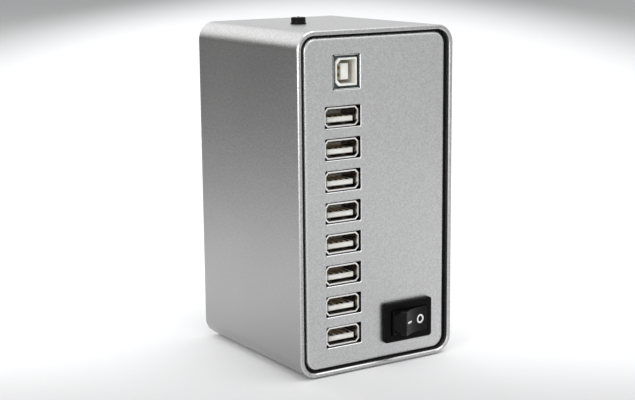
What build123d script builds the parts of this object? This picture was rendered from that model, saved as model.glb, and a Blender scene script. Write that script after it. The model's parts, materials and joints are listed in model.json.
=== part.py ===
"""Desktop USB hub: an upright extruded aluminium sleeve closed by two recessed panels.

Frame, in millimetres: X across the front, +Y towards the back, +Z up.  The origin is the middle
of the pad that the hub stands on.  The front panel faces -Y.
"""
from build123d import *
import math
import os

# ---- case ------------------------------------------------------------------------------------
WIDTH, DEPTH, HEIGHT = 67.0, 72.0, 124.0
WALL = 1.6
CORNER_R = 6.8
RIM_CHAMFER = 0.35
PAD_W, PAD_D, PAD_T, PAD_R, PAD_CHAMFER = 52.0, 64.0, 0.5, 5.0, 0.2
FIT = 0.1
OVERCUT = 1.0

MID_Z = PAD_T + HEIGHT / 2
FRONT_Y = -DEPTH / 2
TOP_Z = PAD_T + HEIGHT

# ---- panels and carriers (distances are measured inwards from the rim of the sleeve) ---------
PANEL_W, PANEL_H, PANEL_T, PANEL_R = 60.8, 119.2, 1.6, 4.6
PANEL_EDGE_R = 1.25
PANEL_IN = 0.8
CUT_CHAMFER = 0.2
CARRIER_IN = PANEL_IN + PANEL_T
CARRIER_T = 2.4
CARRIER_GAP = 0.2
BOARD_IN, BOARD_T = 16.5, 1.6
BOARD_W, BOARD_H = 46.0, 114.0

# ---- screws ----------------------------------------------------------------------------------
CHANNEL_X, CHANNEL_Z, CHANNEL_R, CHANNEL_WEB = 26.6, 55.1, 3.2, 2.4
M3_CORE_R, M3_CLEAR_R, M3_HEAD_R, M3_HEAD_T, M3_LENGTH = 1.25, 1.7, 2.7, 0.8, 9.0
M2_CORE_R, M2_CLEAR_R, M2_HEAD_R, M2_HEAD_T, M2_LENGTH = 0.85, 1.15, 1.9, 1.1, 6.0
STANDOFF_R = 2.3
STANDOFFS = [(-1.6, 9.5), (-1.6, 117.0), (19.8, 117.0), (19.8, 31.0)]

# ---- type A ports ----------------------------------------------------------------------------
PORTS = 8
PORT_X, PORT_TOP_Z, PORT_PITCH = -14.45, PAD_T + 93.5, 11.4
PORT_CUT_W, PORT_CUT_H, PORT_CUT_R = 15.1, 7.7, 0.4
SHELL_DROP = 0.3
MOUTH_IN = 1.85
A_OUT_W, A_OUT_H = 13.14, 5.72
A_IN_W, A_IN_H = 12.5, 5.12
A_LIP_W, A_LIP_H, A_LIP_L, A_LIP_RISE = 14.3, 7.0, 0.9, 0.2
A_LIP_T, A_LIP_CHAMFER, A_CORNER = 0.5, 1.3, 0.3
A_SPRING_X, A_SPRING_W, A_SPRING_ROOT, A_SPRING_TIP, A_SPRING_DIP = 3.1, 1.5, 9.6, 3.6, 0.35
A_SLOT_W, A_SLOT_START = 2.1, 3.0
A_TONGUE_W, A_TONGUE_T, A_TONGUE_Z, A_TONGUE_IN = 11.1, 1.84, -0.82, 1.0
A_CAVITY = 9.9
A_CONTACT_W, A_CONTACT_T, A_CONTACT_RISE = 1.0, 0.22, 0.3
A_CONTACT_TIP, A_CONTACT_BOW, A_CONTACT_FLAT = 1.6, 2.6, 6.4
A_PIN_X = [-3.5, -1.0, 1.0, 3.5]
A_LENGTH = BOARD_IN - MOUTH_IN

# ---- type B port, turned so that its two chamfered corners are on the left -------------------
B_X, B_Z = -12.8, PAD_T + 109.2
B_CUT_W, B_CUT_H = 11.5, 12.4
B_W, B_H, B_SKIN, B_IN, B_CORNER_R = 11.2, 12.1, 0.3, 1.0, 0.9
B_FLAP_IN, B_FLAP_EDGE = 0.9, 0.15
B_RIM_W, B_RIM_H, B_RIM_CHAMFER = 9.0, 9.9, 1.4
B_HOLE_W, B_HOLE_H, B_HOLE_CHAMFER, B_HOLE_END = 7.78, 8.45, 1.5, 11.5
B_TONGUE_W, B_TONGUE_H, B_TONGUE_IN = 3.2, 5.7, 2.1
B_PIN_Z, B_PIN_W, B_PIN_T, B_PIN_IN = 1.25, 1.1, 0.3, 0.7
TONGUE_CHAMFER = 0.3

# ---- rocker switch ---------------------------------------------------------------------------
SWITCH_X, SWITCH_Z = 13.0, PAD_T + 15.5
BEZEL_W, BEZEL_H, BEZEL_PROUD, BEZEL_BEVEL, BEZEL_R = 21.4, 15.0, 2.0, 0.45, 1.2
BODY_W, BODY_H, BODY_END, BODY_R = 19.2, 13.2, 14.0, 0.5
CLIP_OUT, CLIP_L, CLIP_H = 0.6, 3.5, 6.0
SWITCH_BORE_W, SWITCH_BORE_H, SWITCH_BORE_END, SWITCH_BORE_R = 16.5, 9.6, 12.6, 0.3
PIVOT_IN = 2.3
ROCKER_TILT = 17.5
ROCKER_H, ROCKER_WALL, ROCKER_FACE_R = 9.2, 1.2, 2.5
RIDGE_X, RIDGE_Y, DISH_Y, RIDGE_ROUND = 6.4, 6.2, 5.1, 0.45
SKIRT_X, SKIRT_TOP, SKIRT_END_X = 7.75, 1.8, 7.6
POCKET_TOP_X, POCKET_END_X = 5.4, 6.5
PIVOT_PIN_R, PIVOT_CLEAR, PIVOT_PIN_L = 1.22, 0.08, 1.0
BOSS_R, BOSS_BORE_R, BOSS_END, BOSS_BORE_TOP = 2.4, 1.45, 4.6, -2.5
PLUNGER_R, PLUNGER_TOP, PLUNGER_TIP = 1.37, 0.8, 7.95
SPRING_R, SPRING_WIRE_R, SPRING_PITCH = 1.05, 0.18, 0.75
BLADE_IN, BLADE_ARM, BLADE_V, BLADE_TILT, BLADE_T, BLADE_H = 10.8, 5.5, 14.0, 8.0, 0.5, 3.6
KNUCKLE_R, KNUCKLE_GAP = 0.42, 0.05
TERMINAL_W, TERMINAL_H, FIXED_CONTACT_X = 0.8, 4.8, 4.9

# ---- DC inlet on the back panel --------------------------------------------------------------
JACK_X, JACK_Z = 13.0, PAD_T + 15.5
JACK_W, JACK_H, JACK_NOSE_R, JACK_NOSE_L = 10.0, 11.0, 4.2, 4.4
JACK_BORE_R, JACK_PIN_R, JACK_IN = 3.2, 1.0, 0.5
JACK_BORE_END = 12.0
JACK_PIN_IN, JACK_PIN_TIP_R = 1.0, 0.4
LEAF_W, LEAF_T, LEAF_TIP, LEAF_BOW, LEAF_FLAT = 2.4, 0.3, 6.0, 8.0, 10.0

# ---- power lamp on top -----------------------------------------------------------------------
LAMP_X, LAMP_Y = -10.7, 0.0
HOLDER_R, HOLDER_H, HOLDER_FOOT_R, HOLDER_FOOT_T = 2.7, 2.5, 2.95, 0.4
HOLDER_BARREL_R, HOLDER_BARREL_L, HOLDER_CLEAR = 2.2, 5.5, 0.1
LENS_R, LENS_BORE_CLEAR, LENS_FLANGE_R, LENS_FLANGE_T, LENS_PROUD = 1.5, 0.08, 1.9, 1.0, 0.3
HOLDER_EDGE_R, CRATER_DEPTH, CRATER_EDGE = 0.25, 0.5, 0.35
WIRE_R, WIRE_X, WIRE_DROP, WIRE_BEND = 0.55, 0.9, 12.0, 6.0


def along_x(sketch, x0, x1):
    """A prism from x0 to x1 of a sketch drawn in (y, z)."""
    return extrude(Plane.YZ.offset(x0) * sketch, amount=x1 - x0)


def along_y(sketch, y0, y1):
    """A prism from y0 to y1 of a sketch drawn in (x, z)."""
    return extrude(Plane.XZ.offset(-y0) * sketch, amount=y0 - y1)


def along_z(sketch, z0, z1):
    """A prism from z0 to z1 of a sketch drawn in (x, y)."""
    return extrude(Plane.XY.offset(z0) * sketch, amount=z1 - z0)


def rect(w, h, x=0.0, z=0.0, r=0.0):
    return Pos(x, z) * (RectangleRounded(w, h, r) if r else Rectangle(w, h))


def disc(r, x=0.0, z=0.0):
    return Pos(x, z) * Circle(r)


def polygon(points):
    return make_face(Polyline(*points, close=True))


def cut_corner_rect(w, h, c):
    """A rectangle with all four corners cut off at 45 degrees."""
    x, z = w / 2, h / 2
    return polygon([(-x + c, -z), (x - c, -z), (x, -z + c), (x, z - c),
                    (x - c, z), (-x + c, z), (-x, z - c), (-x, -z + c)])


def d_shape(w, h, c):
    """A rectangle with its two left corners cut off at 45 degrees."""
    x, z = w / 2, h / 2
    return polygon([(-x, -z + c), (-x + c, -z), (x, -z), (x, z), (-x + c, z), (-x, z - c)])


def to_back(shape):
    """The same piece at the back of the hub, mirrored front to back."""
    return mirror(shape, about=Plane.XZ)


def port_z(index):
    return PORT_TOP_Z - PORT_PITCH * index


def channel_points():
    return [(sx * CHANNEL_X, MID_Z + sz * CHANNEL_Z) for sx in (-1, 1) for sz in (-1, 1)]


# ---- case ------------------------------------------------------------------------------------
def case_sleeve():
    inside_w, inside_h = WIDTH - 2 * WALL, HEIGHT - 2 * WALL
    outline = rect(WIDTH, HEIGHT, 0, MID_Z, CORNER_R) - rect(inside_w, inside_h, 0, MID_Z, CORNER_R - WALL)
    sleeve = along_y(outline, FRONT_Y, -FRONT_Y)
    rims = sleeve.faces().sort_by(Axis.Y)
    sleeve = chamfer(rims[0].edges() + rims[-1].edges(), RIM_CHAMFER)
    start = FRONT_Y + CARRIER_IN + CARRIER_T
    reach = CORNER_R - WALL / 2
    for x, z in channel_points():
        angle = math.degrees(math.atan2(z - MID_Z, x))
        web = Pos(x, z) * Rot(0, 0, math.copysign(45, angle) if x > 0 else math.copysign(135, angle))
        web = web * Pos(reach / 2, 0) * Rectangle(reach, CHANNEL_WEB)
        sleeve += along_y(disc(CHANNEL_R, x, z) + web, start, -start)
    for x, z in channel_points():
        sleeve -= along_y(disc(M3_CORE_R, x, z), start, -start)
    lamp_hole = disc(HOLDER_BARREL_R + HOLDER_CLEAR, LAMP_X, LAMP_Y)
    return sleeve - along_z(lamp_hole, TOP_Z - 2 * WALL, TOP_Z + WALL)


def base_pad():
    pad = along_z(rect(PAD_W, PAD_D, r=PAD_R), 0, PAD_T)
    return chamfer(pad.faces().sort_by(Axis.Z)[0].edges(), PAD_CHAMFER)


def blank_panel():
    y = FRONT_Y + PANEL_IN
    panel = along_y(rect(PANEL_W, PANEL_H, 0, MID_Z, PANEL_R), y, y + PANEL_T)
    panel = fillet(panel.faces().sort_by(Axis.Y)[0].edges(), PANEL_EDGE_R)
    for index in range(PORTS):
        window = rect(PORT_CUT_W, PORT_CUT_H, PORT_X, port_z(index), PORT_CUT_R)
        panel -= through_panel(window)
    return panel


def through_panel(sketch):
    y = FRONT_Y + PANEL_IN
    return along_y(sketch, y - OVERCUT, y + PANEL_T + OVERCUT)


def deburred(panel):
    """The panel with a small chamfer round the front of each hole in it."""
    front = panel.faces().sort_by(Axis.Y)[0]
    edges = [edge for wire in front.inner_wires() for edge in wire.edges()]
    return chamfer(edges, CUT_CHAMFER)


def switch_window():
    return rect(BODY_W + 2 * FIT, BODY_H + 2 * FIT, SWITCH_X, SWITCH_Z, BODY_R)


def jack_window():
    return disc(JACK_NOSE_R + 1.5 * FIT, JACK_X, JACK_Z)


def front_panel():
    panel = blank_panel() - through_panel(rect(B_CUT_W, B_CUT_H, B_X, B_Z, PORT_CUT_R))
    return deburred(panel) - through_panel(switch_window())


def rear_panel():
    panel = blank_panel() - through_panel(jack_window())
    for x, z in channel_points():
        panel -= through_panel(disc(M3_CLEAR_R, x, z))
    return to_back(deburred(panel))


def blank_carrier():
    """Moulded plate behind a panel, with posts for its circuit board."""
    y = FRONT_Y + CARRIER_IN
    w = WIDTH - 2 * (WALL + CARRIER_GAP)
    h = HEIGHT - 2 * (WALL + CARRIER_GAP)
    r = CORNER_R - WALL - CARRIER_GAP
    carrier = along_y(rect(w, h, 0, MID_Z, r), y, y + CARRIER_T)
    for x, z in STANDOFFS:
        carrier += along_y(disc(STANDOFF_R, x, z), y + CARRIER_T, FRONT_Y + BOARD_IN)
        carrier -= along_y(disc(M2_CORE_R, x, z), FRONT_Y + BOARD_IN - M2_LENGTH, FRONT_Y + BOARD_IN)
    for index in range(PORTS):
        window = rect(A_LIP_W + 4 * FIT, A_LIP_H + 4 * FIT, PORT_X, port_z(index) - SHELL_DROP)
        carrier -= through_carrier(window)
    for x, z in channel_points():
        carrier -= through_carrier(disc(M3_CLEAR_R, x, z))
    return carrier


def through_carrier(sketch):
    y = FRONT_Y + CARRIER_IN
    return along_y(sketch, y - FIT, y + CARRIER_T + FIT)


def front_carrier():
    carrier = blank_carrier() - through_carrier(rect(B_W + 2 * FIT, B_H + 2 * FIT, B_X, B_Z))
    carrier -= through_carrier(switch_window())
    y = FRONT_Y + CARRIER_IN
    for x, z in channel_points():
        carrier -= along_y(disc(M3_HEAD_R + 2 * FIT, x, z), y, y + M3_HEAD_T)
    return carrier


def rear_carrier():
    return to_back(blank_carrier() - through_carrier(jack_window()))


# ---- type A receptacle, its mouth at y = 0 and its tail at y = A_LENGTH ----------------------
def a_lip(w0, h0, c0, w1, h1, c1, length):
    """The flared mouth, from its front outline back to the tube's; the flare opens a little upwards."""
    mouth = Plane.XZ * (Pos(0, A_LIP_RISE) * cut_corner_rect(w0, h0, c0))
    throat = Plane.XZ.offset(-length) * cut_corner_rect(w1, h1, c1)
    return loft([mouth, throat])


def a_retention_spring(x, side):
    """One strip cut free in the long wall and bent inwards; side is +1 above and -1 below."""
    z, sheet = A_IN_H / 2, (A_OUT_H - A_IN_H) / 2
    strip = polygon([(A_SPRING_ROOT, z), (A_SPRING_ROOT, z + sheet),
                     (A_SPRING_TIP, z + sheet - A_SPRING_DIP), (A_SPRING_TIP, z - A_SPRING_DIP)])
    strip = along_x(strip, x - A_SPRING_W / 2, x + A_SPRING_W / 2)
    return strip if side > 0 else mirror(strip, about=Plane.XY)


def a_shell():
    outer = a_lip(A_LIP_W, A_LIP_H, A_LIP_CHAMFER, A_OUT_W, A_OUT_H, A_CORNER, A_LIP_L)
    outer += along_y(cut_corner_rect(A_OUT_W, A_OUT_H, A_CORNER), A_LIP_L, A_LENGTH)
    throat, corner = A_LIP_L + 0.25, A_CORNER / 2
    inner = a_lip(A_LIP_W - 2 * A_LIP_T, A_LIP_H - 2 * A_LIP_T, A_LIP_CHAMFER - A_LIP_T / 2,
                  A_IN_W, A_IN_H, corner, throat)
    inner += along_y(cut_corner_rect(A_IN_W, A_IN_H, corner), throat, A_LENGTH)
    shell = outer - inner
    for x in (-A_SPRING_X, A_SPRING_X):
        for side in (-1, 1):
            slot = rect(A_SLOT_W, 2 * (A_OUT_H - A_IN_H), x, side * A_OUT_H / 2)
            shell -= along_y(slot, A_SLOT_START, A_SPRING_ROOT)
            shell += a_retention_spring(x, side)
    return shell


def a_contacts():
    top = A_TONGUE_Z + A_TONGUE_T / 2
    crest = top + A_CONTACT_RISE
    upper = [(A_CONTACT_TIP, top), (A_CONTACT_BOW, crest), (A_CONTACT_FLAT, crest),
             (A_CAVITY - 2 * A_CONTACT_T, top), (A_LENGTH, top)]
    lower = [(y, z - A_CONTACT_T) for y, z in reversed(upper)]
    profile = polygon(upper + lower)
    return [along_x(profile, x - A_CONTACT_W / 2, x + A_CONTACT_W / 2) for x in A_PIN_X]


def a_insulator():
    tongue = along_y(rect(A_TONGUE_W, A_TONGUE_T, 0, A_TONGUE_Z), A_TONGUE_IN, A_CAVITY)
    tongue = chamfer(tongue.faces().sort_by(Axis.Y)[0].edges(), TONGUE_CHAMFER)
    section = cut_corner_rect(A_IN_W - FIT, A_IN_H - FIT, A_CORNER / 2 + FIT / 2)
    block = along_y(section, A_CAVITY, A_LENGTH - 2 * FIT)
    insulator = tongue + block
    for contact in a_contacts():
        insulator -= contact
    return insulator


def a_place(index):
    return Pos(PORT_X, FRONT_Y + MOUTH_IN, port_z(index) - SHELL_DROP)


# ---- type B receptacle, y measured from the rim of the sleeve --------------------------------
def b_shell():
    """Sheet metal box whose four front flaps slope in to the white rim, with open corners."""
    back = B_IN + B_FLAP_IN + B_SKIN
    shell = along_y(rect(B_W, B_H, r=B_CORNER_R), B_IN, BOARD_IN)
    shell -= along_y(rect(B_W - 2 * B_SKIN, B_H - 2 * B_SKIN, r=B_CORNER_R - B_SKIN), back, BOARD_IN)
    mouth = Plane.XZ.offset(-B_IN) * rect(B_W - 2 * B_FLAP_EDGE, B_H - 2 * B_FLAP_EDGE)
    throat = Plane.XZ.offset(-B_IN - B_FLAP_IN) * rect(B_RIM_W + 2 * B_FLAP_EDGE, B_RIM_H + 2 * B_FLAP_EDGE)
    shell -= loft([mouth, throat])
    return shell - along_y(d_shape(B_RIM_W, B_RIM_H, B_RIM_CHAMFER), B_IN - FIT, back + FIT)


def b_contacts():
    strips = []
    for sx in (-1, 1):
        for sz in (-1, 1):
            section = rect(B_PIN_T, B_PIN_W, sx * (B_TONGUE_W + B_PIN_T) / 2, sz * B_PIN_Z)
            strips.append(along_y(section, B_TONGUE_IN + B_PIN_IN, BOARD_IN))
    return strips


def b_insulator():
    w, h = B_W - 2 * B_SKIN - FIT, B_H - 2 * B_SKIN - FIT
    back = B_IN + B_FLAP_IN + B_SKIN
    block = along_y(rect(w, h, r=B_CORNER_R - B_SKIN), back, BOARD_IN - 2 * FIT)
    block += along_y(d_shape(B_RIM_W - FIT, B_RIM_H - FIT, B_RIM_CHAMFER), B_IN + FIT, back)
    block -= along_y(d_shape(B_HOLE_W, B_HOLE_H, B_HOLE_CHAMFER), B_IN, B_HOLE_END)
    tongue = along_y(rect(B_TONGUE_W, B_TONGUE_H), B_TONGUE_IN, B_HOLE_END)
    block += chamfer(tongue.faces().sort_by(Axis.Y)[0].edges(), TONGUE_CHAMFER)
    for strip in b_contacts():
        block -= strip
    return block


B_PLACE = Pos(B_X, FRONT_Y, B_Z)


# ---- rocker switch, x and z from its middle and y from the rim of the sleeve -----------------
def switch_body():
    bezel = along_y(rect(BEZEL_W, BEZEL_H, r=BEZEL_R), PANEL_IN - BEZEL_PROUD, PANEL_IN)
    bezel = chamfer(bezel.faces().sort_by(Axis.Y)[0].edges(), BEZEL_BEVEL)
    body = bezel + along_y(rect(BODY_W, BODY_H, r=BODY_R), PANEL_IN, BODY_END)
    clip_y = CARRIER_IN + CARRIER_T + FIT
    for side in (-1, 1):
        wedge = polygon([(side * BODY_W / 2, clip_y), (side * (BODY_W / 2 + CLIP_OUT), clip_y),
                         (side * BODY_W / 2, clip_y + CLIP_L)])
        body += along_z(wedge, -CLIP_H / 2, CLIP_H / 2)
    bore = rect(SWITCH_BORE_W, SWITCH_BORE_H, r=SWITCH_BORE_R)
    body -= along_y(bore, PANEL_IN - BEZEL_PROUD, SWITCH_BORE_END)
    depth = SWITCH_BORE_H / 2 + PIVOT_PIN_L + 3 * FIT
    body -= along_z(disc(PIVOT_PIN_R + PIVOT_CLEAR, 0, PIVOT_IN), -depth, depth)
    for terminal in terminals():
        body -= terminal
    return body


def terminals():
    """The pivot terminal in the middle and the fixed contact on the right."""
    starts = ((0.0, BLADE_IN + KNUCKLE_R + KNUCKLE_GAP), (FIXED_CONTACT_X, BLADE_IN + 2 * FIT))
    return [along_y(rect(TERMINAL_W, TERMINAL_H, x), y, BOARD_IN) for x, y in starts]


def rocker_outline():
    """Side view, the pivot at the origin and the pressed face towards -y."""
    radius = math.hypot(SKIRT_X, SKIRT_TOP)
    end_y = math.sqrt(radius ** 2 - SKIRT_END_X ** 2)
    edges = [
        ThreePointArc((-RIDGE_X, -RIDGE_Y), (0, -DISH_Y), (RIDGE_X, -RIDGE_Y)),
        Line((RIDGE_X, -RIDGE_Y), (SKIRT_X, -SKIRT_TOP)),
        ThreePointArc((SKIRT_X, -SKIRT_TOP), (radius, 0), (SKIRT_END_X, end_y)),
        Line((SKIRT_END_X, end_y), (-SKIRT_END_X, end_y)),
        ThreePointArc((-SKIRT_END_X, end_y), (-radius, 0), (-SKIRT_X, -SKIRT_TOP)),
        Line((-SKIRT_X, -SKIRT_TOP), (-RIDGE_X, -RIDGE_Y)),
    ]
    return make_face(edges)


def rocker():
    solid = along_z(rocker_outline(), -ROCKER_H / 2, ROCKER_H / 2)
    ridges = solid.edges().filter_by(Axis.Z).group_by(Axis.Y)[0]
    solid = fillet(ridges, RIDGE_ROUND)
    square = rect(3 * SKIRT_X, 2 * ROCKER_H)
    rounded = rect(2 * SKIRT_X, ROCKER_H, r=ROCKER_FACE_R)
    solid -= along_y(square - rounded, -RIDGE_Y - OVERCUT, -SKIRT_TOP)
    roof, floor = DISH_Y - ROCKER_WALL, SKIRT_TOP + 2
    pocket = polygon([(-POCKET_TOP_X, -roof), (POCKET_TOP_X, -roof),
                      (POCKET_END_X, floor), (-POCKET_END_X, floor)])
    solid -= along_z(pocket, -ROCKER_H / 2 + ROCKER_WALL, ROCKER_H / 2 - ROCKER_WALL)
    solid += along_y(disc(BOSS_R), -roof - 2 * FIT, BOSS_END)
    solid -= along_y(disc(BOSS_BORE_R), BOSS_BORE_TOP, BOSS_END)
    reach = ROCKER_H / 2 + PIVOT_PIN_L
    for side in (-1, 1):
        solid += along_z(disc(PIVOT_PIN_R), side * (ROCKER_H / 2 - FIT), side * reach)
    return solid


def rocker_plunger():
    plunger = along_y(disc(PLUNGER_R), PLUNGER_TOP, PLUNGER_TIP - PLUNGER_R)
    return plunger + Pos(0, PLUNGER_TIP - PLUNGER_R, 0) * Sphere(PLUNGER_R)


def rocker_spring():
    """Coil that fills the bore above the plunger."""
    length = PLUNGER_TOP - BOSS_BORE_TOP - 2 * SPRING_WIRE_R
    path = Helix(pitch=SPRING_PITCH, height=length, radius=SPRING_R)
    coil = sweep(Plane(origin=path @ 0, z_dir=path % 0) * Circle(SPRING_WIRE_R), path=path)
    return Pos(0, BOSS_BORE_TOP + SPRING_WIRE_R, 0) * Rot(-90, 0, 0) * coil


def contact_blade():
    """Shallow V with a round knuckle, which rocks on the pivot terminal."""
    reach = BLADE_ARM * math.cos(math.radians(BLADE_V))
    rise = BLADE_ARM * math.sin(math.radians(BLADE_V))
    half = BLADE_T / 2
    outline = polygon([(-reach, -rise - half), (0, -half), (reach, -rise - half),
                       (reach, -rise + half), (0, half), (-reach, -rise + half)])
    return along_z(outline + disc(KNUCKLE_R), -BLADE_H / 2, BLADE_H / 2)


SWITCH_PLACE = Pos(SWITCH_X, FRONT_Y, SWITCH_Z)
ROCKER_PLACE = SWITCH_PLACE * Pos(0, PIVOT_IN, 0) * Rot(0, 0, ROCKER_TILT)
BLADE_PLACE = SWITCH_PLACE * Pos(0, BLADE_IN, 0) * Rot(0, 0, -BLADE_TILT)


# ---- DC inlet, y from the front rim, then mirrored to the back -------------------------------
def jack_body():
    shoulder = JACK_IN + JACK_NOSE_L
    body = along_y(disc(JACK_NOSE_R), JACK_IN, shoulder + FIT)
    body += along_y(rect(JACK_W, JACK_H), shoulder, BOARD_IN)
    body -= along_y(disc(JACK_BORE_R), JACK_IN, JACK_BORE_END)
    body -= along_y(disc(JACK_PIN_R), JACK_BORE_END - FIT, BOARD_IN)
    return body - jack_contact()


def jack_pin():
    pin = along_y(disc(JACK_PIN_R), JACK_IN + JACK_PIN_IN, BOARD_IN)
    return fillet(pin.faces().sort_by(Axis.Y)[0].edges(), JACK_PIN_TIP_R)


def jack_contact():
    """Leaf that presses on the plug's barrel, along the bottom of the bore."""
    z = -JACK_BORE_R
    upper = [(LEAF_TIP, z - 0.5), (LEAF_BOW, z + 0.45), (LEAF_FLAT, z + FIT), (BOARD_IN, z + FIT)]
    lower = [(y, height - LEAF_T) for y, height in reversed(upper)]
    return along_x(polygon(upper + lower), -LEAF_W / 2, LEAF_W / 2)


JACK_PLACE = Pos(JACK_X, FRONT_Y, JACK_Z)


# ---- power lamp ------------------------------------------------------------------------------
def lamp_holder():
    bore = LENS_R + LENS_BORE_CLEAR
    holder = along_z(disc(HOLDER_FOOT_R), 0, HOLDER_FOOT_T)
    cap = along_z(disc(HOLDER_R), 0, HOLDER_H)
    holder += fillet(cap.faces().sort_by(Axis.Z)[-1].edges(), HOLDER_EDGE_R)
    holder += along_z(disc(HOLDER_BARREL_R), -HOLDER_BARREL_L, 0)
    crater = loft([Plane.XY.offset(HOLDER_H - CRATER_DEPTH) * Circle(bore + FIT / 2),
                   Plane.XY.offset(HOLDER_H + FIT / 10) * Circle(HOLDER_R - CRATER_EDGE)])
    return holder - crater - along_z(disc(bore), -HOLDER_BARREL_L, HOLDER_H)


def lamp_lens():
    dome_z = HOLDER_H + LENS_PROUD - LENS_R
    lens = along_z(disc(LENS_R), -HOLDER_BARREL_L, dome_z) + Pos(0, 0, dome_z) * Sphere(LENS_R)
    return lens + along_z(disc(LENS_FLANGE_R), -HOLDER_BARREL_L - LENS_FLANGE_T, -HOLDER_BARREL_L)


def lamp_wires():
    """Two wires from the lamp, down and forward to the front circuit board."""
    top = TOP_Z - HOLDER_BARREL_L - LENS_FLANGE_T
    low = top - WIRE_DROP
    wires = []
    for x in (LAMP_X - WIRE_X, LAMP_X + WIRE_X):
        path = FilletPolyline((x, LAMP_Y, top), (x, LAMP_Y, low), (x, INNER_Y, low), radius=WIRE_BEND)
        wires.append(sweep(Plane(origin=(x, LAMP_Y, top), z_dir=(0, 0, -1)) * Circle(WIRE_R), path=path))
    return wires


LAMP_PLACE = Pos(LAMP_X, LAMP_Y, TOP_Z)

# ---- circuit boards and what is soldered to their inner faces --------------------------------
INNER_Y = FRONT_Y + BOARD_IN + BOARD_T
BOARD_R = 1.0
CHIP_SIZE, CHIP_T, CHIP_R = 9.0, 1.4, 0.3
PARTS_X = 10.0
CHIP_Z = (86.0, 32.0)
CRYSTAL_W, CRYSTAL_H, CRYSTAL_T, CRYSTAL_R, CRYSTAL_DROP = 11.0, 4.6, 3.5, 2.2, 10.0
PORT_CAP_X, PORT_CAP_R, PORT_CAP_H = -4.0, 2.0, 5.5
BULK_CAP_X, BULK_CAP_Z, BULK_CAP_R, BULK_CAP_H, BULK_CAP_EDGE_R = 13.0, 12.0, 4.0, 12.0, 0.5
HEADER_W, HEADER_H, HEADER_T, HEADER_Z = 18.0, 6.0, 7.0, 60.0
RIBBON_W, RIBBON_T, RIBBON_DROP, RIBBON_TURN, RIBBON_BEND = 15.0, 0.9, 18.0, 4.5, 2.5


def circuit_board():
    board = along_y(rect(BOARD_W, BOARD_H, 0, MID_Z, BOARD_R), FRONT_Y + BOARD_IN, INNER_Y)
    for x, z in STANDOFFS:
        board -= along_y(disc(M2_CLEAR_R, x, z), FRONT_Y + BOARD_IN, INNER_Y)
    return board


def both_boards(pieces):
    return pieces + [to_back(piece) for piece in pieces]


def hub_chips():
    chips = [rect(CHIP_SIZE, CHIP_SIZE, PARTS_X, z, CHIP_R) for z in CHIP_Z]
    return both_boards([along_y(chip, INNER_Y, INNER_Y + CHIP_T) for chip in chips])


def clock_crystals():
    cans = [rect(CRYSTAL_W, CRYSTAL_H, PARTS_X, z - CRYSTAL_DROP, CRYSTAL_R) for z in CHIP_Z]
    return both_boards([along_y(can, INNER_Y, INNER_Y + CRYSTAL_T) for can in cans])


def port_capacitors():
    cans = [along_y(disc(PORT_CAP_R, PORT_CAP_X, port_z(index)), INNER_Y, INNER_Y + PORT_CAP_H)
            for index in range(PORTS)]
    return both_boards(cans)


def bulk_capacitor():
    can = along_y(disc(BULK_CAP_R, BULK_CAP_X, BULK_CAP_Z), INNER_Y, INNER_Y + BULK_CAP_H)
    return to_back(fillet(can.faces().sort_by(Axis.Y)[-1].edges(), BULK_CAP_EDGE_R))


def link_headers():
    section = rect(HEADER_W, HEADER_H, PARTS_X, HEADER_Z)
    return both_boards([along_y(section, INNER_Y, INNER_Y + HEADER_T)])


def link_cable():
    """Flat ribbon that hangs in a U between the two headers."""
    start, turn = INNER_Y + HEADER_T, RIBBON_TURN
    low = HEADER_Z - RIBBON_DROP
    path = FilletPolyline((start, HEADER_Z), (-turn, HEADER_Z), (-turn, low), (turn, low),
                          (turn, HEADER_Z), (-start, HEADER_Z), radius=RIBBON_BEND)
    return along_x(trace(path, line_width=RIBBON_T), PARTS_X - RIBBON_W / 2, PARTS_X + RIBBON_W / 2)


# ---- screws, the head's underside at y = 0 and the shank along +y ----------------------------
def cross_head_screw(head_r, head_t, shank_r, length):
    head = along_y(disc(head_r), -head_t, 0)
    head = fillet(head.faces().sort_by(Axis.Y)[0].edges(), head_t * 0.45)
    slot = rect(head_r * 1.15, head_r * 0.3) + rect(head_r * 0.3, head_r * 1.15)
    head -= along_y(slot, -head_t, -head_t * 0.4)
    return head + along_y(disc(shank_r), 0, length)


def carrier_screws():
    screw = cross_head_screw(M3_HEAD_R, M3_HEAD_T - FIT / 2, M3_CORE_R, M3_LENGTH)
    seat = FRONT_Y + CARRIER_IN + M3_HEAD_T
    return [Pos(x, seat, z) * screw for x, z in channel_points()]


def rear_panel_screws():
    screw = cross_head_screw(M3_HEAD_R, M3_HEAD_T, M3_CORE_R, M3_LENGTH)
    return [to_back(Pos(x, FRONT_Y + PANEL_IN, z) * screw) for x, z in channel_points()]


def board_screws():
    screw = cross_head_screw(M2_HEAD_R, M2_HEAD_T, M2_CORE_R, M2_LENGTH)
    turned = Rot(0, 0, 180) * screw
    return both_boards([Pos(x, INNER_Y, z) * turned for x, z in STANDOFFS])


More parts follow.
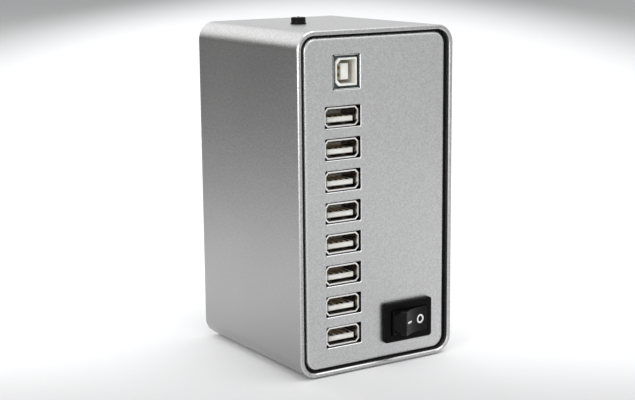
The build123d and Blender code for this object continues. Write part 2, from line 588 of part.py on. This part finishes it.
# ---- every node ------------------------------------------------------------------------------
def build():
    nodes = {
        "case_sleeve": case_sleeve(),
        "base_pad": base_pad(),
        "front_panel": front_panel(),
        "rear_panel": rear_panel(),
        "front_carrier": front_carrier(),
        "rear_carrier": rear_carrier(),
        "carrier_screws": carrier_screws(),
        "rear_panel_screws": rear_panel_screws(),
        "board_screws": board_screws(),
        "usb_b_shell": B_PLACE * b_shell(),
        "usb_b_insulator": B_PLACE * b_insulator(),
        "usb_b_contacts": [B_PLACE * strip for strip in b_contacts()],
        "switch_body": SWITCH_PLACE * switch_body(),
        "switch_terminals": [SWITCH_PLACE * terminal for terminal in terminals()],
        "switch_contact_blade": BLADE_PLACE * contact_blade(),
        "rocker": ROCKER_PLACE * rocker(),
        "rocker_plunger": ROCKER_PLACE * rocker_plunger(),
        "rocker_spring": ROCKER_PLACE * rocker_spring(),
        "dc_jack_body": to_back(JACK_PLACE * jack_body()),
        "dc_jack_pin": to_back(JACK_PLACE * jack_pin()),
        "dc_jack_contact": to_back(JACK_PLACE * jack_contact()),
        "lamp_holder": LAMP_PLACE * lamp_holder(),
        "lamp_lens": LAMP_PLACE * lamp_lens(),
        "lamp_wires": lamp_wires(),
        "front_board": circuit_board(),
        "rear_board": to_back(circuit_board()),
        "hub_chips": hub_chips(),
        "clock_crystals": clock_crystals(),
        "port_capacitors": port_capacitors(),
        "bulk_capacitor": bulk_capacitor(),
        "link_headers": link_headers(),
        "link_cable": link_cable(),
    }
    shell, insulator, contacts = a_shell(), a_insulator(), a_contacts()
    front_contacts, rear_insulators = [], []
    for index in range(PORTS):
        place, number = a_place(index), index + 1
        nodes[f"usb_a_shell_front_{number}"] = place * shell
        nodes[f"usb_a_insulator_front_{number}"] = place * insulator
        nodes[f"usb_a_shell_rear_{number}"] = to_back(place * shell)
        rear_insulators.append(to_back(place * insulator))
        front_contacts += [place * contact for contact in contacts]
    nodes["usb_a_insulators_rear"] = rear_insulators
    nodes["usb_a_contacts_front"] = front_contacts
    nodes["usb_a_contacts_rear"] = [to_back(contact) for contact in front_contacts]
    return nodes


os.makedirs("parts", exist_ok=True)
for name, shape in build().items():
    solids = Compound(children=shape) if isinstance(shape, list) else shape
    export_step(solids, f"parts/{name}.step")
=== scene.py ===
"""Looks of the desktop USB hub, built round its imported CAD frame.

Metres, in the frame of the CAD model: X across the front, +Y towards the back, +Z up.  The front
panel faces -Y and the hub stands on z = 0.
"""
import json
import math

import bmesh
import bpy
from mathutils import Matrix, Vector


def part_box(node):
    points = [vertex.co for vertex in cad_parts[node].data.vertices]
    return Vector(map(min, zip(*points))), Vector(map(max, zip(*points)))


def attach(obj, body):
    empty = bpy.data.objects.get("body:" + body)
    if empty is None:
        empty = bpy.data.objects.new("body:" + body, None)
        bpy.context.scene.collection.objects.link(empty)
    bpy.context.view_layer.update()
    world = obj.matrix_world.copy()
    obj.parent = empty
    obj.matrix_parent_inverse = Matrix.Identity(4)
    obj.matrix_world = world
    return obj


MM = 0.001

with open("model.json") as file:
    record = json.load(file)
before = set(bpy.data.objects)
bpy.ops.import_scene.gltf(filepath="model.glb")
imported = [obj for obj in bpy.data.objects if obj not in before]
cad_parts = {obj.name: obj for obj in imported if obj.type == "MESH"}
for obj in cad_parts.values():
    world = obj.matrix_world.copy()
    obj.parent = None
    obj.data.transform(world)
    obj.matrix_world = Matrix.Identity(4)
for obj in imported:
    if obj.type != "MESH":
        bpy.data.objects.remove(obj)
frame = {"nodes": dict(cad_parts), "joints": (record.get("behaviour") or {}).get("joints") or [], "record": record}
bpy.context.view_layer.update()
NODES = frame["nodes"]


# ---- small helpers for shader nodes --------------------------------------------------------------
ALONG_Y = (1.0, 0.12, 1.0)


def new_node(tree, kind, inputs=(), **settings):
    """A new node; inputs pairs an input's name or number with a value or an output."""
    made = tree.nodes.new(kind)
    for name, value in settings.items():
        setattr(made, name, value)
    for key, value in dict(inputs).items():
        if isinstance(value, bpy.types.NodeSocket):
            tree.links.new(value, made.inputs[key])
        else:
            made.inputs[key].default_value = value
    return made


class Surface:
    """A material, with short names for the few nodes that the surfaces below are made of."""

    def __init__(self, name, color, roughness, metallic=0.0, **constants):
        self.material = bpy.data.materials.new(name)
        self.material.use_nodes = True
        self.material.diffuse_color = (*color, 1.0)
        self.tree = self.material.node_tree
        self.shader = self.tree.nodes["Principled BSDF"]
        self.place = self.tree.nodes.new("ShaderNodeTexCoord")
        self.set("Base Color", (*color, 1.0))
        self.set("Roughness", roughness)
        self.set("Metallic", metallic)
        for socket, value in constants.items():
            self.set(socket.replace("_", " "), value)

    def set(self, socket, value):
        """Sets a shader socket to a constant, or links it when the value is an output."""
        target = self.shader.inputs[socket]
        if isinstance(value, bpy.types.NodeSocket):
            self.tree.links.new(value, target)
        else:
            target.default_value = value

    def add(self, kind, inputs=(), **settings):
        return new_node(self.tree, kind, inputs, **settings)

    def xyz(self, output):
        """X, Y and Z of the place (Object) or of the direction of the face (Normal)."""
        return self.add("ShaderNodeSeparateXYZ", {0: self.place.outputs[output]}).outputs

    def math(self, operation, a, b=0.0, clamp=False):
        made = self.add("ShaderNodeMath", {0: a, 1: b}, operation=operation, use_clamp=clamp)
        return made.outputs[0]

    def noise(self, size, detail=2.0, stretch=(1.0, 1.0, 1.0), seed=0.0):
        """Noise between 0 and 1 whose blotches are about as wide as size, in metres."""
        moved = self.add("ShaderNodeMapping", {"Vector": self.place.outputs["Object"],
                                               "Scale": stretch, "Location": (seed, seed, seed)})
        made = self.add("ShaderNodeTexNoise", {"Vector": moved.outputs[0], "Scale": 0.7 / size,
                                               "Detail": detail, "Roughness": 0.55})
        return made.outputs["Fac"]

    def spread(self, value, low, high, start=0.3, end=0.7):
        """Takes a value that runs from start to end to one that runs from low to high."""
        made = self.add("ShaderNodeMapRange", {"Value": value, "From Min": start, "From Max": end,
                                               "To Min": low, "To Max": high})
        return made.outputs["Result"]

    def tint(self, amount, dark, light):
        """A colour between dark and light."""
        made = self.add("ShaderNodeMix", {"Factor": amount}, data_type="RGBA")
        made.inputs[6].default_value = (*dark, 1.0)
        made.inputs[7].default_value = (*light, 1.0)
        return made.outputs[2]

    def cover(self, amount, under, color):
        """The colour of an output, with a plain colour over it where amount is 1."""
        made = self.add("ShaderNodeMix", {"Factor": amount, 6: under}, data_type="RGBA")
        made.inputs[7].default_value = (*color, 1.0)
        return made.outputs[2]

    def bump(self, height, depth, strength):
        """Bumps as deep as depth, in metres."""
        inputs = {"Height": height, "Distance": depth, "Strength": strength}
        return self.add("ShaderNodeBump", inputs).outputs["Normal"]

    def turned_edge(self):
        """1 on chamfers and rounded edges between faces along Y and across it, 0 on the faces."""
        along = self.math("ABSOLUTE", self.xyz("Normal")["Y"])
        rising = self.spread(along, 0.0, 1.0, 0.12, 0.35)
        falling = self.spread(along, 1.0, 0.0, 0.92, 0.99)
        return self.math("MULTIPLY", rising, falling, clamp=True)


def scaled(color, factor):
    return tuple(min(1.0, c * factor) for c in color)


# ---- surfaces, one for each finish ---------------------------------------------------------------
def anodised(name, color, roughness, contrast, paint_low_side_shade=False, paint_hole_wall_shade=False):
    """Blasted and clear anodised aluminium; machined edges are smoother, and brighter as bare metal plus painted
    highlight.
    """
    s = Surface(name, color, roughness, metallic=1.0)
    fine = s.noise(0.3 * MM, detail=1.0)
    coarse = s.noise(0.5 * MM, detail=1.0, seed=3.0)
    cloud = s.noise(22 * MM, detail=1.0, seed=7.0)
    grain = s.math("ADD", s.math("MULTIPLY", fine, 0.5), s.math("MULTIPLY", coarse, 0.5))
    edge = s.turned_edge()
    speck = s.tint(s.spread(grain, 0.0, 1.0, 0.36, 0.64), scaled(color, 1 - contrast),
                   scaled(color, 1 + contrast))
    # Machined edges: brighter in colour, partly as bare metal and partly as painted highlight.
    tone = s.cover(edge, speck, scaled(color, 1.2))
    # Painted shade: the left and right faces are darker low down.
    if paint_low_side_shade:
        tone = s.cover(low_sides_painted_shade(s), tone, scaled(color, 0.77))
    # Painted shade: the walls of the holes in the panel are painted nearly black.
    if paint_hole_wall_shade:
        tone = s.cover(panel_hole_walls_painted_shade(s), tone, scaled(color, 0.1))
    s.set("Base Color", tone)
    dull = s.math("ADD", s.spread(grain, roughness - 0.05, roughness + 0.05),
                  s.spread(cloud, -0.015, 0.015))
    s.set("Roughness", s.math("SUBTRACT", dull, s.math("MULTIPLY", edge, 0.12)))
    s.set("Normal", s.bump(grain, 0.02 * MM, 0.7))
    return s.material


def low_sides_painted_shade(s):
    """1 low on the left and right faces, where their colour is darkened as painted shade."""
    sides = s.spread(s.math("ABSOLUTE", s.xyz("Normal")["X"]), 0.0, 1.0, 0.7, 0.97)
    return s.math("MULTIPLY", sides, s.spread(s.xyz("Object")["Z"], 1.0, 0.0, 5 * MM, 80 * MM))


def panel_hole_walls_painted_shade(s):
    """1 on the walls of the holes stamped through a panel, which are painted dark as shade."""
    place = s.xyz("Object")
    low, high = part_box("front_panel")
    margin = 2.0 * MM
    middle = (low.z + high.z) / 2
    within_x = s.math("LESS_THAN", s.math("ABSOLUTE", place["X"]), high.x - margin)
    height = s.math("ABSOLUTE", s.math("SUBTRACT", place["Z"], middle))
    within_z = s.math("LESS_THAN", height, middle - low.z - margin)
    across = s.math("LESS_THAN", s.math("ABSOLUTE", s.xyz("Normal")["Y"]), 0.3)
    return s.math("MULTIPLY", across, s.math("MULTIPLY", within_x, within_z))


def moulded_black(name, color, roughness, texture_size, texture_depth, shine):
    """Black moulded plastic with a fine spark-eroded texture."""
    s = Surface(name, color, roughness, Specular_IOR_Level=shine)
    texture = s.noise(texture_size, detail=2.0)
    wear = s.noise(9 * MM, detail=2.0, seed=2.0)
    s.set("Base Color", s.tint(s.spread(texture, 0.0, 1.0), scaled(color, 0.7), scaled(color, 1.5)))
    s.set("Roughness", s.math("ADD", s.spread(texture, roughness - 0.06, roughness + 0.06),
                              s.spread(wear, -0.03, 0.03)))
    s.set("Normal", s.bump(texture, texture_depth, 0.8))
    return s.material


def pad_rubber():
    s = Surface("pad_rubber", (0.028, 0.028, 0.03), 0.8, Specular_IOR_Level=0.35)
    crumb = s.noise(0.35 * MM, detail=3.0)
    dust = s.noise(6 * MM, detail=4.0, seed=5.0)
    s.set("Base Color", s.tint(s.spread(dust, 0.0, 1.0, 0.45, 0.75), (0.024, 0.024, 0.026),
                               (0.07, 0.068, 0.064)))
    s.set("Roughness", s.spread(crumb, 0.7, 0.9))
    s.set("Normal", s.bump(crumb, 0.05 * MM, 0.8))
    return s.material


def plated_metal(name, dark, light, roughness, line_size):
    """Plated sheet or wire, with faint rolling lines along Y and a few dull patches."""
    s = Surface(name, light, roughness, metallic=1.0)
    lines = s.noise(line_size, detail=2.0, stretch=ALONG_Y)
    patches = s.noise(1.8 * MM, detail=3.0, seed=4.0)
    s.set("Base Color", s.tint(s.spread(patches, 0.0, 1.0), dark, light))
    s.set("Roughness", s.math("ADD", s.spread(lines, roughness - 0.07, roughness + 0.07),
                              s.spread(patches, 0.05, -0.03)))
    s.set("Normal", s.bump(lines, 0.004 * MM, 0.6))
    return s.material


def port_shell(name, mouth, rim, inside, roughness, shaded_flap=False):
    """Nickel-plated shell, rubbed bright within rim metres of its mouth, with painted highlight there, and painted
    shade further in.
    """
    s = Surface(name, inside, roughness, metallic=1.0)
    depth = s.math("SUBTRACT", abs(mouth), s.math("ABSOLUTE", s.xyz("Object")["Y"]))
    # Painted highlight near the mouth, and painted shade deeper in the shell.
    bright = s.spread(depth, 1.0, 0.0, rim, rim * 1.6)
    lines = s.noise(0.15 * MM, detail=2.0, stretch=ALONG_Y)
    patches = s.noise(1.6 * MM, detail=2.0, seed=4.0)
    dull = s.tint(s.spread(patches, 0.0, 1.0), scaled(inside, 0.7), scaled(inside, 1.3))
    tone = s.cover(bright, dull, (1.0, 0.985, 0.96))
    if shaded_flap:
        facing_left = s.spread(s.xyz("Normal")["X"], 1.0, 0.0, -0.5, -0.2)
        tone = s.cover(facing_left, tone, scaled(inside, 0.1))
    s.set("Base Color", tone)
    s.set("Roughness", s.math("ADD", s.spread(lines, roughness - 0.06, roughness + 0.06),
                              s.math("MULTIPLY", bright, 0.12)))
    s.set("Normal", s.bump(lines, 0.004 * MM, 0.6))
    return s.material


def white_nylon():
    s = Surface("white_nylon", (0.8, 0.79, 0.74), 0.42, Specular_IOR_Level=0.5,
                Subsurface_Weight=0.12, Subsurface_Scale=0.6 * MM)
    fine = s.noise(0.3 * MM, detail=2.0)
    flow = s.noise(2.5 * MM, detail=2.0, stretch=(1.0, 0.4, 1.0), seed=6.0)
    s.set("Base Color", s.tint(s.spread(flow, 0.0, 1.0), (0.72, 0.71, 0.65), (0.86, 0.855, 0.82)))
    s.set("Roughness", s.spread(fine, 0.34, 0.5))
    s.set("Normal", s.bump(fine, 0.008 * MM, 0.6))
    return s.material


TRACK_PITCH, RIBBON_PITCH = 1.27 * MM, 1.25 * MM


def circuit_board():
    """Green solder mask with routed copper lines showing through it."""
    s = Surface("solder_mask", (0.015, 0.13, 0.06), 0.3, Coat_Weight=0.4, Coat_Roughness=0.12)
    wander = s.spread(s.noise(14 * MM, detail=0.0, seed=9.0), -2.2, 2.2)
    across = s.math("ADD", s.math("MULTIPLY", s.xyz("Object")["X"], 1 / TRACK_PITCH), wander)
    stripe = s.math("ABSOLUTE", s.math("SUBTRACT", s.math("FRACT", across), 0.5))
    region = s.spread(s.noise(7 * MM, detail=0.0, seed=12.0), 0.0, 1.0, 0.49, 0.5)
    copper = s.math("MULTIPLY", s.spread(stripe, 1.0, 0.0, 0.17, 0.2), region, clamp=True)
    s.set("Base Color", s.tint(copper, (0.012, 0.1, 0.045), (0.03, 0.2, 0.08)))
    s.set("Roughness", s.spread(s.noise(1.2 * MM), 0.24, 0.36))
    s.set("Normal", s.bump(copper, 0.035 * MM, 0.9))
    return s.material


def chip_epoxy():
    s = Surface("chip_epoxy", (0.022, 0.022, 0.024), 0.55, Specular_IOR_Level=0.45)
    fine = s.noise(0.12 * MM, detail=2.0)
    s.set("Base Color", s.tint(s.spread(fine, 0.0, 1.0), (0.016, 0.016, 0.018),
                               (0.034, 0.034, 0.036)))
    s.set("Roughness", s.spread(fine, 0.48, 0.66))
    s.set("Normal", s.bump(fine, 0.008 * MM, 0.7))
    return s.material


def capacitor_sleeve():
    """Shrunk dark blue film over the can, with the bare aluminium top left open."""
    s = Surface("capacitor_sleeve", (0.02, 0.035, 0.09), 0.3, Coat_Weight=0.3, Coat_Roughness=0.15)
    top = s.spread(s.math("ABSOLUTE", s.xyz("Normal")["Y"]), 0.0, 1.0, 0.9, 0.97)
    ripple = s.noise(1.4 * MM, detail=1.0, stretch=(1.0, 0.25, 1.0))
    s.set("Metallic", top)
    s.set("Base Color", s.tint(top, (0.02, 0.035, 0.09), (0.62, 0.62, 0.63)))
    s.set("Roughness", s.spread(ripple, 0.22, 0.4))
    s.set("Normal", s.bump(ripple, 0.03 * MM, 0.5))
    return s.material


def ribbon():
    """Grey flat cable: one ridge for each wire, the first wire marked."""
    s = Surface("ribbon_plastic", (0.42, 0.42, 0.43), 0.4)
    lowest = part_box("link_cable")[0].x
    wire = s.math("DIVIDE", s.math("SUBTRACT", s.xyz("Object")["X"], lowest), RIBBON_PITCH)
    ridge = s.math("SINE", s.math("MULTIPLY", s.math("FRACT", wire), math.pi))
    first = s.math("LESS_THAN", wire, 1.0)
    s.set("Base Color", s.tint(first, (0.42, 0.42, 0.43), (0.5, 0.03, 0.03)))
    s.set("Roughness", s.spread(s.noise(0.8 * MM), 0.34, 0.46))
    s.set("Normal", s.bump(ridge, 0.35 * MM, 0.9))
    return s.material


def wire_plastic():
    s = Surface("wire_plastic", (0.35, 0.03, 0.03), 0.4)
    fine = s.noise(0.6 * MM, detail=2.0)
    low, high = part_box("lamp_wires")
    second = s.math("GREATER_THAN", s.xyz("Object")["X"], (low.x + high.x) / 2)
    s.set("Base Color", s.tint(second, (0.32, 0.025, 0.02), (0.02, 0.02, 0.022)))
    s.set("Roughness", s.spread(fine, 0.34, 0.48))
    s.set("Normal", s.bump(fine, 0.01 * MM, 0.6))
    return s.material


def lamp_epoxy():
    s = Surface("lamp_epoxy", (0.055, 0.03, 0.026), 0.16, Coat_Weight=0.5, Coat_Roughness=0.08)
    haze = s.noise(0.7 * MM, detail=2.0)
    s.set("Base Color", s.tint(s.spread(haze, 0.0, 1.0), (0.045, 0.022, 0.018),
                               (0.075, 0.045, 0.038)))
    s.set("Roughness", s.spread(haze, 0.12, 0.24))
    return s.material


def white_paint():
    s = Surface("white_paint", (0.82, 0.82, 0.8), 0.45)
    fine = s.noise(0.15 * MM, detail=3.0)
    s.set("Base Color", s.tint(s.spread(fine, 0.0, 1.0), (0.7, 0.7, 0.68), (0.88, 0.88, 0.86)))
    s.set("Roughness", s.spread(fine, 0.38, 0.55))
    s.set("Normal", s.bump(fine, 0.01 * MM, 0.6))
    return s.material


FINISHES = {
    "sleeve_aluminium": anodised("sleeve_aluminium", (0.5, 0.498, 0.494), 0.38, 0.18,
                                 paint_low_side_shade=True),
    "panel_aluminium": anodised("panel_aluminium", (0.575, 0.575, 0.575), 0.38, 0.13,
                                paint_hole_wall_shade=True),
    "black_plastic": moulded_black("black_plastic", (0.005, 0.005, 0.0055), 0.5, 0.3 * MM,
                                   0.02 * MM, 0.12),
    "pad_rubber": pad_rubber(),
    "switch_plastic": moulded_black("switch_plastic", (0.003, 0.003, 0.0033), 0.34, 0.25 * MM,
                                    0.01 * MM, 0.06),
    "plated_steel": plated_metal("plated_steel", (0.5, 0.5, 0.48), (0.66, 0.65, 0.62), 0.3,
                                 0.2 * MM),
    "nickel_shell": port_shell("nickel_shell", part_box("usb_a_shell_front_1")[0].y, 0.25 * MM,
                               (0.2, 0.18, 0.16), 0.2),
    "white_plastic": white_nylon(),
    "gold_contact": plated_metal("gold_contact", (0.62, 0.42, 0.18), (0.85, 0.62, 0.3), 0.25,
                                 0.1 * MM),
    "circuit_board": circuit_board(),
    "chip_plastic": chip_epoxy(),
    "capacitor_can": capacitor_sleeve(),
    "ribbon_plastic": ribbon(),
    "wire_plastic": wire_plastic(),
    "lamp_lens": lamp_epoxy(),
}
ROCKER_PLASTIC = moulded_black("rocker_plastic", (0.003, 0.003, 0.0033), 0.28, 0.22 * MM,
                               0.006 * MM, 0.12)
B_SHELL = port_shell("usb_b_shell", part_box("usb_b_shell")[0].y, 0.04 * MM, (0.13, 0.155, 0.165),
                     0.16, shaded_flap=True)
PAINT = white_paint()
BY_NODE = {"rocker": ROCKER_PLASTIC, "usb_b_shell": B_SHELL}


def finish_nodes():
    """Gives each CAD node its own finish, or else the one of its slot in the record."""
    for part in frame["record"]["subparts"]:
        target = NODES[part["node"]]
        target.data.materials.clear()
        target.data.materials.append(BY_NODE.get(part["node"], FINISHES[part["material_slot"]]))


# ---- painted marks on the rocker (its face is a hollow arc between two ridges) -------------------
TILT = math.radians(17.5)
RIDGE_X, RIDGE_Y, DISH_Y = 6.4 * MM, 6.2 * MM, 5.1 * MM
SAG = RIDGE_Y - DISH_Y
DISH_R = (RIDGE_X ** 2 + SAG ** 2) / (2 * SAG)
PAINT_T = 0.05 * MM
PAINT_SUNK, PAINT_EDGE = -0.04 * MM, 0.07 * MM
RING_X, RING_W, RING_H, RING_STROKE = 3.2 * MM, 3.3 * MM, 3.45 * MM, 0.65 * MM
BAR_X, BAR_W, BAR_H = -3.3 * MM, 2.9 * MM, 0.72 * MM


def rocker_place():
    joint = next(j for j in frame["joints"] if j["name"] == "rocker_turn")
    return Matrix.Translation(joint["pos_m"]) @ Matrix.Rotation(TILT, 4, "Z")


def on_dish(x, z, lift):
    """A point over the rocker's hollow face, lift above it, in the rocker's own axes."""
    middle = Vector((0.0, -DISH_Y - DISH_R, z))
    foot = Vector((x, -DISH_Y - DISH_R + math.sqrt(DISH_R ** 2 - x ** 2), z))
    return foot + (middle - foot).normalized() * lift


def oval(x, width, height, count=48):
    """Points round an ellipse."""
    turns = (2 * math.pi * i / count for i in range(count))
    return [(x + width / 2 * math.cos(t), height / 2 * math.sin(t)) for t in turns]


def stadium(x, width, height, count=48):
    """Points round a bar with rounded ends."""
    r, points = height / 2, []
    for i in range(count):
        t = 2 * math.pi * (i + 0.5) / count
        shift = math.copysign(width / 2 - r, math.cos(t))
        points.append((x + shift + r * math.cos(t), r * math.sin(t)))
    return points


def painted_mark(name, loops, closed_ring):
    """A thin coat of paint; loops pairs closed outlines with their lifts, from the rim inwards."""
    mesh = bmesh.new()
    rows = [[mesh.verts.new(on_dish(x, z, lift)) for x, z in outline] for outline, lift in loops]
    for outer, inner in zip(rows, rows[1:]):
        for i in range(len(outer)):
            j = (i + 1) % len(outer)
            mesh.faces.new((outer[i], outer[j], inner[j], inner[i]))
    if closed_ring:
        first, last = rows[0], rows[-1]
        for i in range(len(first)):
            j = (i + 1) % len(first)
            mesh.faces.new((last[i], last[j], first[j], first[i]))
    else:
        mesh.faces.new(rows[-1])
        mesh.faces.new(reversed(rows[0]))
    bmesh.ops.recalc_face_normals(mesh, faces=mesh.faces)
    bmesh.ops.transform(mesh, matrix=rocker_place(), verts=mesh.verts)
    return finished_piece(name, mesh, PAINT, "rocker")


def finished_piece(name, mesh, material, body):
    """Turns a bmesh into a smooth-shaded piece that moves with a body."""
    data = bpy.data.meshes.new(name)
    mesh.to_mesh(data)
    mesh.free()
    data.materials.append(material)
    data.shade_smooth()
    piece = bpy.data.objects.new(name, data)
    bpy.context.scene.collection.objects.link(piece)
    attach(piece, body)
    return piece


def rocker_marks():
    """The on and off marks, each with a bevelled edge and its foot sunk a little into the face."""
    half = PAINT_T / 2
    hole_w, hole_h = RING_W - 2 * RING_STROKE, RING_H - 2 * RING_STROKE
    outside, inside = oval(RING_X, RING_W, RING_H), oval(RING_X, hole_w, hole_h)
    ring = [(outside, PAINT_SUNK), (outside, half),
            (oval(RING_X, RING_W - PAINT_EDGE, RING_H - PAINT_EDGE), PAINT_T),
            (oval(RING_X, hole_w + PAINT_EDGE, hole_h + PAINT_EDGE), PAINT_T),
            (inside, half), (inside, PAINT_SUNK)]
    painted_mark("rocker_mark_off", ring, closed_ring=True)
    outline = stadium(BAR_X, BAR_W, BAR_H)
    bar = [(outline, PAINT_SUNK), (outline, half),
           (stadium(BAR_X, BAR_W - PAINT_EDGE, BAR_H - PAINT_EDGE), PAINT_T)]
    painted_mark("rocker_mark_on", bar, closed_ring=False)


# ---- floor, light and camera ---------------------------------------------------------------------
FLOOR_R, FLOOR_WHITE = 5.0, (0.97, 0.97, 0.972)
BRIGHT_SPOT = 0.9
CAMERA_AT = Vector((-0.285417, -0.443892, 0.158346))
CAMERA_YAW, CAMERA_PITCH = math.radians(32.46), math.radians(10.866)
CAMERA_ROLL = math.radians(-0.546)
LENS, SENSOR = 79.58, 36.0


def smooth_fade(tree, value, start, end, low, high):
    """Takes a value smoothly from low, at start, to high, at end."""
    inputs = {"Value": value, "From Min": start, "From Max": end, "To Min": low, "To Max": high}
    made = new_node(tree, "ShaderNodeMapRange", inputs, interpolation_type="SMOOTHSTEP")
    return made.outputs["Result"]


def studio_floor():
    """A pale round floor with a painted pool of light behind the hub, and painted shade far off,
    close to the camera and beyond the left edge of the picture, where the side of the hub mirrors it."""
    mesh = bmesh.new()
    bmesh.ops.create_circle(mesh, cap_ends=True, radius=FLOOR_R, segments=96)
    data = bpy.data.meshes.new("floor")
    mesh.to_mesh(data)
    mesh.free()
    floor = bpy.data.objects.new("floor", data)
    bpy.context.scene.collection.objects.link(floor)
    s = Surface("floor", (0.97, 0.97, 0.97), 0.7, Specular_IOR_Level=0.1)
    place = s.place.outputs["Object"]
    view = Vector((math.sin(CAMERA_YAW), math.cos(CAMERA_YAW), 0.0))
    side = Vector((math.cos(CAMERA_YAW), -math.sin(CAMERA_YAW), 0.0))

    def along(direction):
        product = s.add("ShaderNodeVectorMath", {0: place, 1: direction}, operation="DOT_PRODUCT")
        return product.outputs["Value"]

    def fade(value, start, end, low, high):
        return smooth_fade(s.tree, value, start, end, low, high)

    ahead = s.math("SUBTRACT", along(view), BRIGHT_SPOT)
    aside = s.math("MULTIPLY", along(side), 4.6)
    reach = s.math("SQRT", s.math("ADD", s.math("MULTIPLY", ahead, ahead),
                                  s.math("MULTIPLY", aside, aside)))
    far = fade(reach, 1.2, 3.0, 1.0, 0.38)
    close = s.math("MULTIPLY", fade(along(view), -0.1, 0.03, 0.38, 0.0),
                   fade(s.math("ABSOLUTE", along(side)), 0.14, 0.3, 1.0, 0.0))
    near = s.math("SUBTRACT", 1.0, close)
    left = fade(along((-0.941, 0.337, 0.0)), 0.13, 0.34, 0.0, 1.0)
    behind = fade(along((0.0, 1.0, 0.0)), -0.08, 0.15, 0.0, 1.0)
    shade = s.spread(s.math("MULTIPLY", left, behind), 1.0, 0.42, 0.0, 1.0)
    # Painted pool of light and painted shade, put into the floor's colour.
    amount = s.math("MULTIPLY", shade, s.math("MULTIPLY", near, far))
    s.set("Base Color", s.tint(amount, (0.0, 0.0, 0.0), FLOOR_WHITE))
    data.materials.append(s.material)


ROOM_COLOR, DIM_COLOR = (0.95, 0.955, 0.965, 1.0), (0.03, 0.025, 0.02, 1.0)
BACK_LEFT = (-0.55, 0.835, 0.0)


def studio_world():
    """An even pale room, with a dim corner low at the back left."""
    world = bpy.data.worlds.new("studio")
    bpy.context.scene.world = world
    world.use_nodes = True
    tree = world.node_tree
    background = tree.nodes["Background"]

    direction = new_node(tree, "ShaderNodeTexCoord").outputs["Generated"]
    height = new_node(tree, "ShaderNodeSeparateXYZ", {0: direction}).outputs["Z"]
    towards = new_node(tree, "ShaderNodeVectorMath", {0: direction, 1: BACK_LEFT},
                       operation="DOT_PRODUCT").outputs["Value"]
    corner = new_node(tree, "ShaderNodeMath", {0: smooth_fade(tree, towards, 0.55, 0.9, 0.0, 1.0),
                                               1: smooth_fade(tree, height, 0.16, 0.42, 1.0, 0.0)},
                      operation="MULTIPLY").outputs[0]
    mixed = new_node(tree, "ShaderNodeMix", {"Factor": corner}, data_type="RGBA")
    mixed.inputs[6].default_value = ROOM_COLOR
    mixed.inputs[7].default_value = DIM_COLOR
    tree.links.new(mixed.outputs[2], background.inputs["Color"])
    background.inputs["Strength"].default_value = 0.95


LIGHTS_AIM = Vector((0.0, 0.0, 0.06))
SOFTBOXES = (("key", (0.35, -0.7, 1.9), (1.6, 1.6), 14.0),
             ("edge", (-0.95, -0.5, 0.28), (0.25, 0.5), 3.0),
             ("back", (-0.5, 1.7, 0.95), (2.4, 1.0), 6.5))


def softbox(name, at, size, power):
    """A rectangular lamp of so many watts, turned towards the hub."""
    light = bpy.data.lights.new(name, "AREA")
    light.shape = "RECTANGLE"
    light.size, light.size_y = size
    light.energy = power
    lamp = bpy.data.objects.new(name, light)
    bpy.context.scene.collection.objects.link(lamp)
    lamp.location = at
    lamp.rotation_euler = (LIGHTS_AIM - Vector(at)).to_track_quat("-Z", "Y").to_euler()


def camera():
    data = bpy.data.cameras.new("camera")
    data.lens, data.sensor_width = LENS, SENSOR
    forward = Vector((math.sin(CAMERA_YAW) * math.cos(CAMERA_PITCH),
                      math.cos(CAMERA_YAW) * math.cos(CAMERA_PITCH), -math.sin(CAMERA_PITCH)))
    level = Vector((math.cos(CAMERA_YAW), -math.sin(CAMERA_YAW), 0.0))
    over = level.cross(forward)
    right = level * math.cos(CAMERA_ROLL) + over * math.sin(CAMERA_ROLL)
    up = over * math.cos(CAMERA_ROLL) - level * math.sin(CAMERA_ROLL)
    turn = Matrix((right, up, -forward)).transposed().to_4x4()
    cam = bpy.data.objects.new("camera", data)
    bpy.context.scene.collection.objects.link(cam)
    cam.matrix_world = Matrix.Translation(CAMERA_AT) @ turn
    bpy.context.scene.camera = cam


def colours():
    """Shows the render's own tones, with no film curve over them."""
    bpy.context.scene.view_settings.view_transform = "Standard"
    bpy.context.scene.view_settings.look = "None"


finish_nodes()
rocker_marks()
studio_floor()
studio_world()
for box in SOFTBOXES:
    softbox(*box)
camera()
colours()

bpy.context.view_layer.update()
